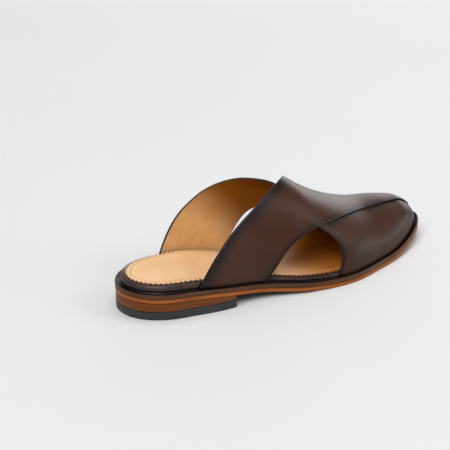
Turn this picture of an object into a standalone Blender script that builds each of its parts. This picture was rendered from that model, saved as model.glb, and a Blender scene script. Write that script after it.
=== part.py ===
"""Right shoe of a pair of crossed-strap leather mules: closed toe, open heel and side windows.

Metres. The toe points to +X, the medial side of the foot is +Y, up is +Z.
The origin is on the floor, under the middle of the outsole.
"""

from collections import namedtuple

import bmesh
import bpy
import numpy as np

NAME = "cross_strap_mule"

# Overall sizes
LENGTH = 0.300            # outsole, back of the heel to the toe
HEEL_ROUND = 0.0445       # length of the outline's rounded heel end
TOE_ROUND = 0.0640        # length of the outline's rounded toe end
HEEL_BREAST = 0.0877      # front face of the heel, from the back
CLEAR = 0.0003            # between pieces that meet

# Thickness of each layer, from the floor up
LIFT_THICK = 0.0072
OUTSOLE_THICK = 0.0034
MIDSOLE_THICK = 0.0038
SOCK_THICK = 0.0010
SOLE_THICK = OUTSOLE_THICK + CLEAR + MIDSOLE_THICK

# How far each outline lies inside the outsole's
HEEL_INSET = 0.0004
WELT = 0.0040             # midsole that shows outside the straps
WALL = 0.0022             # strap leather with its lining
LAST_INSET = WELT + WALL
FOOTBED_INSET = LAST_INSET + 0.0012
SOCK_INSET = 0.0092

# Rounded edges
EdgeStyle = namedtuple("EdgeStyle", "size steps upper_only")
SQUARE_EDGE = EdgeStyle(0.0006, 2, False)
WRAPPED_EDGE = EdgeStyle(0.0014, 3, True)
CUT_EDGE = EdgeStyle(0.0003, 1, True)

# Where the two straps lie over each other
UPPER_LIFT = 0.0012       # the outer strap rides this much higher there
STRAP_SEAT = 0.00015      # the outer strap over the last elsewhere
LIFT_RAMP = 0.022         # distance over which it climbs
ARCH_LENGTH = 3.0         # length around the last, in ridge heights
TUCK = 0.0085             # the inner strap's back corner dips this far under it
TUCK_REACH = 0.050
TUCK_WIDTH = 0.27         # share of the girth each side of the ridge that dips
TOE_FADE = 0.005          # the step runs out this close to the toe

# Toe of the last
TOE_BOX = 0.0200          # length over which the ridge drops to the sole
TOE_BOX_POWER = 1.9
RIDGE_FADE = 0.048        # the ridge moves back to the middle where the last is narrower
LEVEL_REACH = 0.030       # height up to which a wall follows the sole's slope

# Mesh density
SOLE_ROWS = 46
STRAP_ROWS = 41
BASE_ROWS = 10            # of these, rows that start along the strap's base
STRAP_COLUMNS = 29
MARK_SPACE = LENGTH / SOLE_ROWS / 3   # no other row nearer than this to a marked one
WELD = 0.00001            # points this close become one

# Rise of a face's outward direction: what counts as a side wall, and as a top or bottom
STEEP = 0.3
LEVEL = 0.7

# Outline of the outsole: at is a share of the length
Outline = namedtuple("Outline", "at centre half_width")
OUTLINE = (
    Outline(0.000, 0.0000, 0.0372),
    Outline(0.125, -0.0008, 0.0372),
    Outline(0.250, -0.0030, 0.0396),
    Outline(0.383, -0.0067, 0.0345),
    Outline(0.517, -0.0075, 0.0425),
    Outline(0.667, 0.0000, 0.0512),
    Outline(0.800, 0.0076, 0.0454),
    Outline(1.000, 0.0115, 0.0325),
)

# Underside of the outsole: heel seat, arch, flat ball and toe spring
Profile = namedtuple("Profile", "at height")
BALL_BACK = 0.633
BALL_FRONT = 0.750
PROFILE = (
    Profile(0.000, 0.0157),
    Profile(0.250, 0.0126),
    Profile(0.383, 0.0066),
    Profile(0.567, 0.0004),
    Profile(BALL_BACK, 0.0000),
    Profile(BALL_FRONT, 0.0000),
    Profile(0.873, 0.0021),
    Profile(1.000, 0.0115),
)

# Footbed: thick under the heel, thin under the forefoot
Footbed = namedtuple("Footbed", "at thick")
FOOTBED = (
    Footbed(0.00, 0.0053),
    Footbed(0.30, 0.0053),
    Footbed(0.40, 0.0041),
    Footbed(0.52, 0.0026),
    Footbed(0.62, 0.0022),
    Footbed(1.00, 0.0022),
)

# Sections of the last: ridge height over the sole, how far the ridge lies to the
# medial side, how full each side is (2 is an ellipse), and how far the medial side swells
# out over the waist
Section = namedtuple("Section", "at ridge shift lateral_full medial_full swell")
LAST = (
    Section(0.200, 0.1244, 0.0162, 2.07, 2.33, 0.0080),
    Section(0.333, 0.0939, 0.0218, 1.99, 2.31, 0.0080),
    Section(0.433, 0.0828, 0.0229, 1.89, 2.30, 0.0080),
    Section(0.517, 0.0745, 0.0185, 1.91, 2.15, 0.0030),
    Section(0.593, 0.0599, 0.0141, 2.05, 2.19, 0.0008),
    Section(0.667, 0.0475, 0.0098, 2.14, 2.20, 0.0000),
    Section(0.767, 0.0357, 0.0055, 2.16, 2.24, 0.0000),
    Section(0.873, 0.0289, 0.0026, 2.18, 2.26, 0.0000),
    Section(0.980, 0.0155, 0.0010, 2.20, 2.20, 0.0000),
)

# Back edge of each strap: girth runs from the strap's own base, over the foot, to the far base
BackEdge = namedtuple("BackEdge", "girth lateral medial")
BACK_EDGE = (
    BackEdge(0.000, 0.0564, 0.0520),
    BackEdge(0.065, 0.0708, 0.0680),
    BackEdge(0.130, 0.0860, 0.0838),
    BackEdge(0.195, 0.1024, 0.0974),
    BackEdge(0.235, 0.1127, 0.1067),
    BackEdge(0.270, 0.1210, 0.1170),
    BackEdge(0.300, 0.1276, 0.1274),
    BackEdge(0.325, 0.1328, 0.1366),
    BackEdge(0.350, 0.1378, 0.1456),
    BackEdge(0.380, 0.1434, 0.1550),
    BackEdge(0.420, 0.1500, 0.1618),
    BackEdge(0.460, 0.1553, 0.1648),
    BackEdge(0.500, 0.1597, 0.1660),
    BackEdge(0.550, 0.1652, 0.1664),
    BackEdge(0.600, 0.1703, 0.1674),
    BackEdge(0.700, 0.1781, 0.1695),
    BackEdge(0.780, 0.1827, 0.1741),
    BackEdge(0.800, 0.1837, 0.1807),
    BackEdge(0.820, 0.1847, 0.1842),
    BackEdge(0.850, 0.1860, 0.1875),
    BackEdge(0.880, 0.1873, 0.1885),
    BackEdge(0.940, 0.1899, 0.1874),
    BackEdge(1.000, 0.1925, 0.1840),
)

# Front edge of each strap, as the girth it has reached at each distance from the heel
FrontEdge = namedtuple("FrontEdge", "at girth")
LATERAL_FRONT = (
    FrontEdge(0.1195, 0.000),
    FrontEdge(0.1241, 0.027),
    FrontEdge(0.1293, 0.059),
    FrontEdge(0.1355, 0.096),
    FrontEdge(0.1420, 0.127),
    FrontEdge(0.1488, 0.153),
    FrontEdge(0.1548, 0.174),
    FrontEdge(0.1610, 0.193),
    FrontEdge(0.1712, 0.224),
    FrontEdge(0.1883, 0.276),
    FrontEdge(0.2095, 0.336),
    FrontEdge(0.2353, 0.393),
    FrontEdge(0.2617, 0.418),
    FrontEdge(0.2778, 0.440),
    FrontEdge(0.2872, 0.478),
    FrontEdge(0.2938, 0.560),
)
MEDIAL_FRONT = (
    FrontEdge(0.1085, 0.000),
    FrontEdge(0.1135, 0.027),
    FrontEdge(0.1267, 0.092),
    FrontEdge(0.1371, 0.135),
    FrontEdge(0.1489, 0.171),
    FrontEdge(0.1613, 0.206),
    FrontEdge(0.1750, 0.249),
    FrontEdge(0.1937, 0.305),
    FrontEdge(0.2110, 0.350),
    FrontEdge(0.2233, 0.400),
    FrontEdge(0.2362, 0.430),
    FrontEdge(0.2500, 0.435),
    FrontEdge(0.2640, 0.415),
    FrontEdge(0.2800, 0.360),
    FrontEdge(0.2900, 0.250),
    FrontEdge(0.2938, 0.150),
)

Leather = namedtuple("Leather", "red green blue roughness")
FINISHES = {
    "upper": Leather(0.060, 0.032, 0.024, 0.42),
    "sock": Leather(0.760, 0.480, 0.260, 0.65),
    "footbed": Leather(0.045, 0.028, 0.020, 0.50),
    "midsole": Leather(0.070, 0.036, 0.022, 0.50),
    "outsole": Leather(0.260, 0.090, 0.035, 0.45),
    "heel_stack": Leather(0.110, 0.048, 0.024, 0.50),
    "top_lift": Leather(0.020, 0.020, 0.022, 0.70),
}

TOE_END = LENGTH - LAST_INSET
FAR_PACE = 1.5   # a strap's rows lie closer together at first along its far base


def curve(rows, across, column, at):
    """Smooth curve through one column of a table, flat where two rows are equal."""
    xs = np.array([getattr(row, across) for row in rows])
    ys = np.array([getattr(row, column) for row in rows])
    slopes = np.gradient(ys, xs)
    for i in range(len(xs) - 1):
        if ys[i] == ys[i + 1]:
            slopes[i] = slopes[i + 1] = 0.0
    at = np.asarray(at, float)
    left = np.clip(np.searchsorted(xs, at, side="right") - 1, 0, len(xs) - 2)
    span = xs[left + 1] - xs[left]
    t = np.clip((at - xs[left]) / span, 0.0, 1.0)
    start = (1 + 2 * t) * (1 - t) ** 2 * ys[left] + t * (1 - t) ** 2 * span * slopes[left]
    end = t * t * (3 - 2 * t) * ys[left + 1] + t * t * (t - 1) * span * slopes[left + 1]
    return start + end


def ease(share):
    """Smooth step from 0 to 1."""
    t = np.clip(share, 0.0, 1.0)
    return t * t * (3 - 2 * t)


def outline(x, inset):
    """Lateral and medial y of the outsole's outline, moved in by the inset."""
    x = np.asarray(x, float)
    heel = np.clip((HEEL_ROUND - x) / (HEEL_ROUND - inset), 0.0, 1.0)
    toe = np.clip((x - LENGTH + TOE_ROUND) / (TOE_ROUND - inset), 0.0, 1.0)
    ends = np.sqrt(1 - heel ** 2) * np.sqrt(1 - toe ** 2)
    half = (curve(OUTLINE, "at", "half_width", x / LENGTH) - inset) * ends
    middle = curve(OUTLINE, "at", "centre", x / LENGTH)
    return middle - half, middle + half


def underside(x):
    """Height of the outsole's underside over the floor."""
    return curve(PROFILE, "at", "height", np.asarray(x, float) / LENGTH)


def sole_top(x):
    """Height of the midsole's upper face over the floor."""
    return underside(x) + SOLE_THICK


def footbed_top(x):
    """Height of the footbed's upper face over the floor."""
    return sole_top(x) + CLEAR + curve(FOOTBED, "at", "thick", np.asarray(x, float) / LENGTH)


def last_point(x, girth, seat):
    """Point of the last: girth 0 is the lateral base, 0.5 the ridge and 1 the medial base."""
    x, girth = np.broadcast_arrays(np.asarray(x, float), np.asarray(girth, float))
    at = x / LENGTH
    lateral, medial = outline(x, LAST_INSET)
    toe = np.clip((x - TOE_END + TOE_BOX) / TOE_BOX, 0.0, 1.0)
    rise = curve(LAST, "at", "ridge", at) * (1 - toe ** TOE_BOX_POWER) ** (1 / TOE_BOX_POWER)
    narrow = np.clip((medial - lateral) / RIDGE_FADE, 0.0, 1.0)
    ridge = (lateral + medial) / 2 + curve(LAST, "at", "shift", at) * narrow
    across = np.cos(np.pi * girth)
    upward = np.clip(np.sin(np.pi * girth), 0.0, 1.0)
    lateral_side = across > 0
    lateral_full = curve(LAST, "at", "lateral_full", at)
    medial_full = curve(LAST, "at", "medial_full", at)
    full = np.where(lateral_side, lateral_full, medial_full)
    reach = np.where(lateral_side, ridge - lateral, medial - ridge)
    y = ridge - np.sign(across) * reach * np.abs(across) ** (2 / full)
    medial_share = np.clip(2 * girth - 1, 0.0, 1.0)
    y += curve(LAST, "at", "swell", at) * np.sin(np.pi * medial_share)
    z = sole_top(x) + seat + rise * upward ** (2 / full)
    return np.stack([x, y, z], axis=-1)


def last_normal(x, girth):
    """Outward direction of the last's surface."""
    step = 0.0002
    turn = 0.004
    x = np.clip(x, 0.0, TOE_END - 2 * step)
    before = np.maximum(girth - turn, 0.0)
    after = np.minimum(girth + turn, 1.0)
    along = last_point(x + step, girth, 0.0) - last_point(x - step, girth, 0.0)
    around = last_point(x, after, 0.0) - last_point(x, before, 0.0)
    normal = np.cross(along, around)
    normal[..., 2] = np.maximum(normal[..., 2], 0.0)   # level where a side flares up from its base
    return normal / np.linalg.norm(normal, axis=-1, keepdims=True)


def strap_point(x, girth, rise, seat):
    """Point standing off the last by rise, with its base kept level over the sole."""
    base = last_point(x, girth, seat)
    point = base + last_normal(x, girth) * np.asarray(rise)[..., None]
    low = 1 - ease((base[..., 2] - sole_top(x)) / LEVEL_REACH)
    point[..., 2] += low * (sole_top(point[..., 0]) - sole_top(x))
    return point


def front_girth(edge, x):
    """Girth that a strap's front edge has reached; none before its corner."""
    return curve(edge, "at", "girth", np.maximum(x, edge[0].at))


def strap_grid(side, edge):
    """Distances and girths of a strap's grid, girth counted from its own base.

    Rows start along the strap's base and then its front edge, and end along the far base.
    Each lies a share of the way from the back edge to the toe.
    """
    back_start = getattr(BACK_EDGE[0], side)
    corner = edge[0].at
    turn = np.linspace(0.0, np.pi / 2, STRAP_ROWS - BASE_ROWS)
    near = np.concatenate([
        np.linspace(back_start, corner, BASE_ROWS, endpoint=False),
        corner + (TOE_END - corner) * np.sin(turn),
    ])
    low = np.where(near > corner, front_girth(edge, near), 0.0)
    start = curve(BACK_EDGE, "girth", side, low)
    near_share = (near - start) / (TOE_END - start)
    far_share = np.linspace(0.0, 1.0, STRAP_ROWS) ** FAR_PACE
    across = np.linspace(0.0, 1.0, STRAP_COLUMNS)
    girth = across + low[:, None] * (1 - across) ** (2 - low[:, None])
    share = near_share[:, None] * (1 - across) + far_share[:, None] * across
    back = curve(BACK_EDGE, "girth", side, girth)
    return back + share * (TOE_END - back), girth


def over_lift(x, girth):
    """How far the lateral strap stands off the last, where it crosses the medial one."""
    inside_back = x - curve(BACK_EDGE, "girth", "medial", 1 - girth)
    hidden_edge = (1 - girth) - front_girth(MEDIAL_FRONT, x)
    arch = ARCH_LENGTH * curve(LAST, "at", "ridge", x / LENGTH)
    over = ease(1 + inside_back / LIFT_RAMP) * ease(1 + hidden_edge * arch / LIFT_RAMP)
    fade = ease((TOE_END - x) / TOE_FADE)
    return STRAP_SEAT + UPPER_LIFT * over * fade


def under_tuck(x, girth):
    """How far the medial strap dips into the last, near its back edge on the ridge."""
    from_edge = x - curve(BACK_EDGE, "girth", "medial", girth)
    return TUCK * ease(1 - from_edge / TUCK_REACH) * ease(1 - abs(girth - 0.5) / TUCK_WIDTH)


def stations(start, end, inset, marks):
    """Distances from the heel, close together at the rounded ends, with the marks among them."""
    turn = np.linspace(0.0, np.pi, SOLE_ROWS)
    whole = inset + (LENGTH - 2 * inset) * (1 - np.cos(turn)) / 2
    kept = whole[(whole >= start) & (whole < end)]
    kept = [x for x in kept if all(abs(x - mark) > MARK_SPACE for mark in marks)]
    return np.array(sorted(kept + list(marks)))


BALL_MARKS = (BALL_BACK * LENGTH, BALL_FRONT * LENGTH)
OUTSOLE_STATIONS = stations(0.0, 2 * LENGTH, 0.0, BALL_MARKS)
SIDES = outline(OUTSOLE_STATIONS, 0.0)
MIDDLE = (SIDES[0].min() + SIDES[1].max()) / 2


def place(point):
    """Row frame position of a point measured from the heel."""
    return (point[0] - LENGTH / 2, point[1] - MIDDLE, point[2])


def clear_scene():
    """Start from an empty file."""
    for thing in list(bpy.data.objects):
        bpy.data.objects.remove(thing, do_unlink=True)


def make_collection(name):
    """New collection in the scene."""
    collection = bpy.data.collections.new(name)
    bpy.context.scene.collection.children.link(collection)
    return collection


def make_material(name):
    """Plain finish of one piece."""
    finish = FINISHES[name]
    material = bpy.data.materials.new(name)
    material.use_nodes = True
    shader = material.node_tree.nodes["Principled BSDF"]
    shader.inputs["Base Color"].default_value = (finish.red, finish.green, finish.blue, 1.0)
    shader.inputs["Roughness"].default_value = finish.roughness
    return material


def make_object(name, shape, collection):
    """Object that holds the finished bmesh."""
    bmesh.ops.recalc_face_normals(shape, faces=shape.faces)
    if shape.calc_volume(signed=True) < 0:
        bmesh.ops.reverse_faces(shape, faces=shape.faces)
    mesh = bpy.data.meshes.new(name)
    shape.to_mesh(mesh)
    shape.free()
    piece = bpy.data.objects.new(name, mesh)
    collection.objects.link(piece)
    return piece


def thicken(shape, other_side):
    """Extrude a sheet into a closed wall whose second face is moved by other_side(index)."""
    shape.verts.index_update()
    layer = shape.verts.layers.int.new("source")
    for vert in shape.verts:
        vert[layer] = vert.index
    made = bmesh.ops.extrude_face_region(shape, geom=list(shape.faces))
    for item in made["geom"]:
        if isinstance(item, bmesh.types.BMVert):
            item.co = other_side(item[layer])


def make_slab(name, rows, inset, top, bottom, edge, collection):
    """Layer of the sole between two heights, with the outline moved in by the inset."""
    shape = bmesh.new()
    grid = bmesh.ops.create_grid(shape, x_segments=len(rows) - 1, y_segments=1, size=1.0)
    lateral, medial = outline(rows, inset)
    low = {}
    for vert in grid["verts"]:
        row = int(round((vert.co.x + 1) / 2 * (len(rows) - 1)))
        y = medial[row] if vert.co.y > 0 else lateral[row]
        low[vert.index] = place((rows[row], y, bottom(rows[row])))
        vert.co = place((rows[row], y, top(rows[row])))
    thicken(shape, lambda index: low[index])
    bmesh.ops.remove_doubles(shape, verts=shape.verts, dist=WELD)
    bmesh.ops.recalc_face_normals(shape, faces=shape.faces)
    rim = [e for e in shape.edges if len(e.link_faces) == 2 and is_corner(e, edge.upper_only)]
    bmesh.ops.bevel(shape, geom=rim, offset=edge.size, segments=edge.steps, profile=0.5,
                    affect="EDGES", clamp_overlap=True, material=-1)
    return make_object(name, shape, collection)


def is_corner(edge, upper_only):
    """An edge between a side wall and the top, or either face."""
    wall, flat = sorted((face.normal.z for face in edge.link_faces), key=abs)
    return abs(wall) < STEEP and abs(flat) > LEVEL and (flat > 0 or not upper_only)


def make_strap(name, side, edge, collection):
    """One strap: a wall of constant thickness over the last, from its back edge to the toe."""
    x, girth = strap_grid(side, edge)
    over = side == "lateral"
    across = girth if over else 1 - girth
    inner_rise = over_lift(x, across) if over else -under_tuck(x, girth)
    seat = CLEAR + (STRAP_SEAT if over else 0.0)
    inner = strap_point(x, across, inner_rise, seat)
    outer = strap_point(x, across, inner_rise + WALL, seat)
    inner[-1] = inner[-1].mean(axis=0)
    outer[-1] = outer[-1].mean(axis=0)
    shape = bmesh.new()
    grid = bmesh.ops.create_grid(shape, x_segments=STRAP_ROWS - 1, y_segments=STRAP_COLUMNS - 1,
                                 size=1.0)
    far = {}
    for vert in grid["verts"]:
        row = int(round((vert.co.x + 1) / 2 * (STRAP_ROWS - 1)))
        column = int(round((vert.co.y + 1) / 2 * (STRAP_COLUMNS - 1)))
        far[vert.index] = place(outer[row, column])
        vert.co = place(inner[row, column])
    thicken(shape, lambda index: far[index])
    bmesh.ops.remove_doubles(shape, verts=shape.verts, dist=WELD)
    bmesh.ops.triangulate(shape, faces=shape.faces)
    return make_object(name, shape, collection)


def join_straps(under, over):
    """Fuse the crossing straps into one wall, without the slivers left between them."""
    fuse = under.modifiers.new("Crossing", "BOOLEAN")
    fuse.operation = "UNION"
    fuse.solver = "EXACT"
    fuse.object = over
    fused = under.evaluated_get(bpy.context.evaluated_depsgraph_get())
    mesh = bpy.data.meshes.new_from_object(fused)
    under.modifiers.clear()
    shape = bmesh.new()
    shape.from_mesh(mesh)
    biggest = max(islands(shape), key=len)
    bmesh.ops.delete(shape, geom=[v for v in shape.verts if v not in biggest], context="VERTS")
    shape.to_mesh(mesh)
    shape.free()
    under.data = mesh
    bpy.data.objects.remove(over, do_unlink=True)


def islands(shape):
    """Sets of joined vertices."""
    waiting = set(shape.verts)
    found = []
    while waiting:
        island = set()
        front = [waiting.pop()]
        while front:
            vert = front.pop()
            island.add(vert)
            joined = {edge.other_vert(vert) for edge in vert.link_edges} & waiting
            waiting -= joined
            front.extend(joined)
        found.append(island)
    return found


def main():
    """Build every piece of the shoe."""
    clear_scene()
    parts = make_collection(NAME)
    heel = stations(0.0, HEEL_BREAST, HEEL_INSET, (HEEL_BREAST,))
    foot = stations(0.0, LENGTH, FOOTBED_INSET, ())
    sock = stations(0.0, LENGTH, SOCK_INSET, ())
    midsole_base = OUTSOLE_THICK + CLEAR
    pieces = [
        make_slab("top_lift", heel, HEEL_INSET, lambda x: LIFT_THICK, lambda x: 0.0,
                  SQUARE_EDGE, parts),
        make_slab("heel_stack", heel, HEEL_INSET, lambda x: underside(x) - CLEAR,
                  lambda x: LIFT_THICK + CLEAR, SQUARE_EDGE, parts),
        make_slab("outsole", OUTSOLE_STATIONS, 0.0, lambda x: underside(x) + OUTSOLE_THICK, underside,
                  SQUARE_EDGE, parts),
        make_slab("midsole", OUTSOLE_STATIONS, 0.0, sole_top, lambda x: underside(x) + midsole_base,
                  SQUARE_EDGE, parts),
        make_slab("footbed", foot, FOOTBED_INSET, footbed_top, lambda x: sole_top(x) + CLEAR,
                  WRAPPED_EDGE, parts),
        make_slab("sock", sock, SOCK_INSET, lambda x: footbed_top(x) + CLEAR + SOCK_THICK,
                  lambda x: footbed_top(x) + CLEAR, CUT_EDGE, parts),
        make_strap("upper", "medial", MEDIAL_FRONT, parts),
    ]
    join_straps(pieces[-1], make_strap("lateral_strap", "lateral", LATERAL_FRONT, parts))
    for piece in pieces:
        piece.data.materials.append(make_material(piece.name))


main()
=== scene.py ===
import math
from collections import namedtuple

import bmesh
import bpy
import numpy as np
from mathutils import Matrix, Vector
from mathutils.kdtree import KDTree


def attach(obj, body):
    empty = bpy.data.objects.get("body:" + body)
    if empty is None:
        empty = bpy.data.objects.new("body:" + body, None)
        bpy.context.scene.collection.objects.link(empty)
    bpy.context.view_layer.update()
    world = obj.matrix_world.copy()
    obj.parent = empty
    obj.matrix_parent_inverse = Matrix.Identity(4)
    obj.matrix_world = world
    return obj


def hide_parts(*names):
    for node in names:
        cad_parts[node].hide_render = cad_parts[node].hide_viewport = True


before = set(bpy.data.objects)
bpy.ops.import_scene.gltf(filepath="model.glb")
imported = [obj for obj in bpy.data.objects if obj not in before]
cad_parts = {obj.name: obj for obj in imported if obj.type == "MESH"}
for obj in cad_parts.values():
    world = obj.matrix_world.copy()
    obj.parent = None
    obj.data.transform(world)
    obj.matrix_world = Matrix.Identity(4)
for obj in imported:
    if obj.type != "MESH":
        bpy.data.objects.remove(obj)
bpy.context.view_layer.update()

bl_info = {
    "name": "Cross-strap mule",
    "version": (1, 0, 0),
    "blender": (4, 5, 0),
    "location": "3D View > Sidebar > Mule",
    "description": "Builds the right shoe of a pair of crossed-strap leather mules, and a studio for it",
    "category": "Add Mesh",
}

# Overall sizes, in metres. Distances along the shoe are counted from the back of the heel.
LENGTH = 0.300
MIDDLE = 0.000447         # the frame's centre line, from the heel's
HEEL_ROUND = 0.0445       # length of the outline's rounded heel end
TOE_ROUND = 0.0640        # length of the outline's rounded toe end
HEEL_BREAST = 0.0877      # front face of the heel
CLEAR = 0.0003            # between pieces that meet

# Thickness of each layer, from the floor up
LIFT_THICK = 0.0072
OUTSOLE_THICK = 0.0034
MIDSOLE_THICK = 0.0038
SOCK_THICK = 0.0010
SOLE_THICK = OUTSOLE_THICK + CLEAR + MIDSOLE_THICK

# How far each outline lies inside the outsole's
HEEL_INSET = 0.0004
WELT = 0.0040
WALL = 0.0022             # strap leather with its lining
LAST_INSET = WELT + WALL
FOOTBED_INSET = LAST_INSET + 0.0012
RIM_INSET = 0.0046        # the footbed's rim where no strap covers it
SOCK_INSET = 0.0088
CORE_INSET = 0.0200       # innermost ring of every layer

# Where the two straps lie over each other
UPPER_LIFT = 0.0012
STRAP_SEAT = 0.00015
SKIVED_GAP = 0.00008      # between the straps, where the outer one is thinned
LIFT_RAMP = 0.022
ARCH_LENGTH = 3.0         # length around the last, in ridge heights
TUCK = 0.0085             # the inner strap's back corner dips this far under the outer one
TUCK_REACH = 0.050
TUCK_WIDTH = 0.27
TOE_FADE = 0.005

# Toe of the last
TOE_BOX = 0.0200
TOE_BOX_POWER = 1.9
RIDGE_FADE = 0.048
LEVEL_REACH = 0.030
TOE_END = LENGTH - LAST_INSET

# Mesh density
LAYER_ROWS = 161
BOARD_ROWS = 3 * LAYER_ROWS
HEEL_ROWS = 61
SOCK_TEETH = 74           # along each side
ROWS_PER_TOOTH = 4
STRAP_ROWS = 181
BASE_ROWS = STRAP_ROWS // 4   # of these, rows that start along the strap's base
STRAP_COLUMNS = 81
FAR_PACE = 1.5            # a strap's rows lie closer together at first along its far base
RING_SAMPLES = 3001       # points from which a ring's even ones are worked out
MERGE = 0.000002
SHARP = math.radians(38)

# Rounded corners and edges
HEEL_CORNER = 0.0005
BREAST_ROUND = 0.0003
OUTSOLE_CORNER = 0.0006
CORNER_SOFT = 0.3         # middle of a corner's rounding, as a share of it
ROLL_STEPS = 9            # points round the footbed's rim
ROLL_TURN = 0.48          # half turns from the middle of the rim to its ends
ROLL_DEPTH = 0.0016
ROLL_FOOT = 0.0012        # how far in the foot of the rim lies
SOCK_ROUND = 0.0002
TOOTH_BAND = 0.0010       # width of the sock's edge that the teeth move
LINE_INSET = 0.0040       # the pressed line, from the sock's edge
LINE_HALF = 0.0004
SQUARE_TOE = 0.006        # the straps' edges stay square this near the toe

# Outline of the outsole: at is a share of the length
Outline = namedtuple("Outline", "at centre half_width")
OUTLINE = (
    Outline(0.000, 0.0000, 0.0372),
    Outline(0.125, -0.0008, 0.0372),
    Outline(0.250, -0.0030, 0.0396),
    Outline(0.383, -0.0067, 0.0345),
    Outline(0.517, -0.0075, 0.0425),
    Outline(0.667, 0.0000, 0.0512),
    Outline(0.800, 0.0076, 0.0454),
    Outline(1.000, 0.0115, 0.0325),
)

# Underside of the outsole: heel seat, arch, flat ball and toe spring
Profile = namedtuple("Profile", "at height")
PROFILE = (
    Profile(0.000, 0.0157),
    Profile(0.250, 0.0126),
    Profile(0.383, 0.0066),
    Profile(0.567, 0.0004),
    Profile(0.633, 0.0000),
    Profile(0.750, 0.0000),
    Profile(0.873, 0.0021),
    Profile(1.000, 0.0115),
)

# Footbed: thick under the heel, thin under the forefoot
Footbed = namedtuple("Footbed", "at thick")
FOOTBED = (
    Footbed(0.00, 0.0053),
    Footbed(0.30, 0.0053),
    Footbed(0.40, 0.0041),
    Footbed(0.52, 0.0026),
    Footbed(0.62, 0.0022),
    Footbed(1.00, 0.0022),
)

# Sections of the last: ridge height over the sole, how far the ridge lies to the
# medial side, how full each side is (2 is an ellipse), and how far the medial side swells
# out over the waist
Section = namedtuple("Section", "at ridge shift lateral_full medial_full swell")
LAST = (
    Section(0.200, 0.1244, 0.0162, 2.07, 2.33, 0.0080),
    Section(0.333, 0.0939, 0.0218, 1.99, 2.31, 0.0080),
    Section(0.433, 0.0828, 0.0229, 1.89, 2.30, 0.0080),
    Section(0.517, 0.0745, 0.0185, 1.91, 2.15, 0.0030),
    Section(0.593, 0.0599, 0.0141, 2.05, 2.19, 0.0008),
    Section(0.667, 0.0475, 0.0098, 2.14, 2.20, 0.0000),
    Section(0.767, 0.0357, 0.0055, 2.16, 2.24, 0.0000),
    Section(0.873, 0.0289, 0.0026, 2.18, 2.26, 0.0000),
    Section(0.980, 0.0155, 0.0010, 2.20, 2.20, 0.0000),
)

# Back edge of each strap: girth runs from the strap's own base, over the foot, to the far base
BackEdge = namedtuple("BackEdge", "girth lateral medial")
BACK_EDGE = (
    BackEdge(0.000, 0.0564, 0.0520),
    BackEdge(0.065, 0.0708, 0.0680),
    BackEdge(0.130, 0.0860, 0.0838),
    BackEdge(0.195, 0.1024, 0.0974),
    BackEdge(0.235, 0.1127, 0.1067),
    BackEdge(0.270, 0.1210, 0.1170),
    BackEdge(0.300, 0.1276, 0.1274),
    BackEdge(0.325, 0.1328, 0.1366),
    BackEdge(0.350, 0.1378, 0.1456),
    BackEdge(0.380, 0.1434, 0.1550),
    BackEdge(0.420, 0.1500, 0.1618),
    BackEdge(0.460, 0.1553, 0.1648),
    BackEdge(0.500, 0.1597, 0.1660),
    BackEdge(0.550, 0.1652, 0.1664),
    BackEdge(0.600, 0.1703, 0.1674),
    BackEdge(0.700, 0.1781, 0.1695),
    BackEdge(0.780, 0.1827, 0.1741),
    BackEdge(0.800, 0.1837, 0.1807),
    BackEdge(0.820, 0.1847, 0.1842),
    BackEdge(0.850, 0.1860, 0.1875),
    BackEdge(0.880, 0.1873, 0.1885),
    BackEdge(0.940, 0.1899, 0.1874),
    BackEdge(1.000, 0.1925, 0.1840),
)

# Front edge of each strap, as the girth it has reached at each distance from the heel
FrontEdge = namedtuple("FrontEdge", "at girth")
LATERAL_FRONT = (
    FrontEdge(0.1195, 0.000),
    FrontEdge(0.1241, 0.027),
    FrontEdge(0.1293, 0.059),
    FrontEdge(0.1355, 0.096),
    FrontEdge(0.1420, 0.127),
    FrontEdge(0.1488, 0.153),
    FrontEdge(0.1548, 0.174),
    FrontEdge(0.1610, 0.193),
    FrontEdge(0.1712, 0.224),
    FrontEdge(0.1883, 0.276),
    FrontEdge(0.2095, 0.336),
    FrontEdge(0.2353, 0.393),
    FrontEdge(0.2617, 0.418),
    FrontEdge(0.2778, 0.440),
    FrontEdge(0.2872, 0.478),
    FrontEdge(0.2938, 0.560),
)
MEDIAL_FRONT = (
    FrontEdge(0.1085, 0.000),
    FrontEdge(0.1135, 0.027),
    FrontEdge(0.1267, 0.092),
    FrontEdge(0.1371, 0.135),
    FrontEdge(0.1489, 0.171),
    FrontEdge(0.1613, 0.206),
    FrontEdge(0.1750, 0.249),
    FrontEdge(0.1937, 0.305),
    FrontEdge(0.2110, 0.350),
    FrontEdge(0.2233, 0.400),
    FrontEdge(0.2362, 0.430),
    FrontEdge(0.2500, 0.435),
    FrontEdge(0.2640, 0.415),
    FrontEdge(0.2800, 0.360),
    FrontEdge(0.2900, 0.250),
    FrontEdge(0.2938, 0.150),
)

# Lengths of the footbed's rim that no strap covers, on the lateral and on the medial side.
# Their ends lean forward like the straps' edges.
FreeRim = namedtuple("FreeRim", "start end")
FREE_RIM = (
    (FreeRim(-0.010, 0.0565), FreeRim(0.1195, 0.1840)),
    (FreeRim(-0.010, 0.0520), FreeRim(0.1085, 0.1925)),
)
FREE_LEAN = 0.55
FREE_RAMP = 0.0016

# Burnish and painted shadow: the dark band's width along a front edge, which on the medial strap is
# painted shadow under the lateral strap's front edge, and at a strap's far end, as shares of the back
# edge's, the stretch across the strap where it narrows, and its reach at the toe
FRONT_BURNISH_AND_SHADOW = 0.55
FAR_BURNISH = 0.35
FAR_START = 0.66
FAR_EASE = 0.12
TOE_BURNISH = 0.034
# On the medial strap, along the lateral strap's front edge, this darkness is painted shadow
FRONT_DARK = 0.85         # how dark it gets along a front edge, where 1 is a back edge
TOE_DARK = 0.5

# Finishes of a strap, in the order of its materials
STRAP_CALF = 0
STRAP_PAINT = 1
STRAP_LINING = 2

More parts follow.
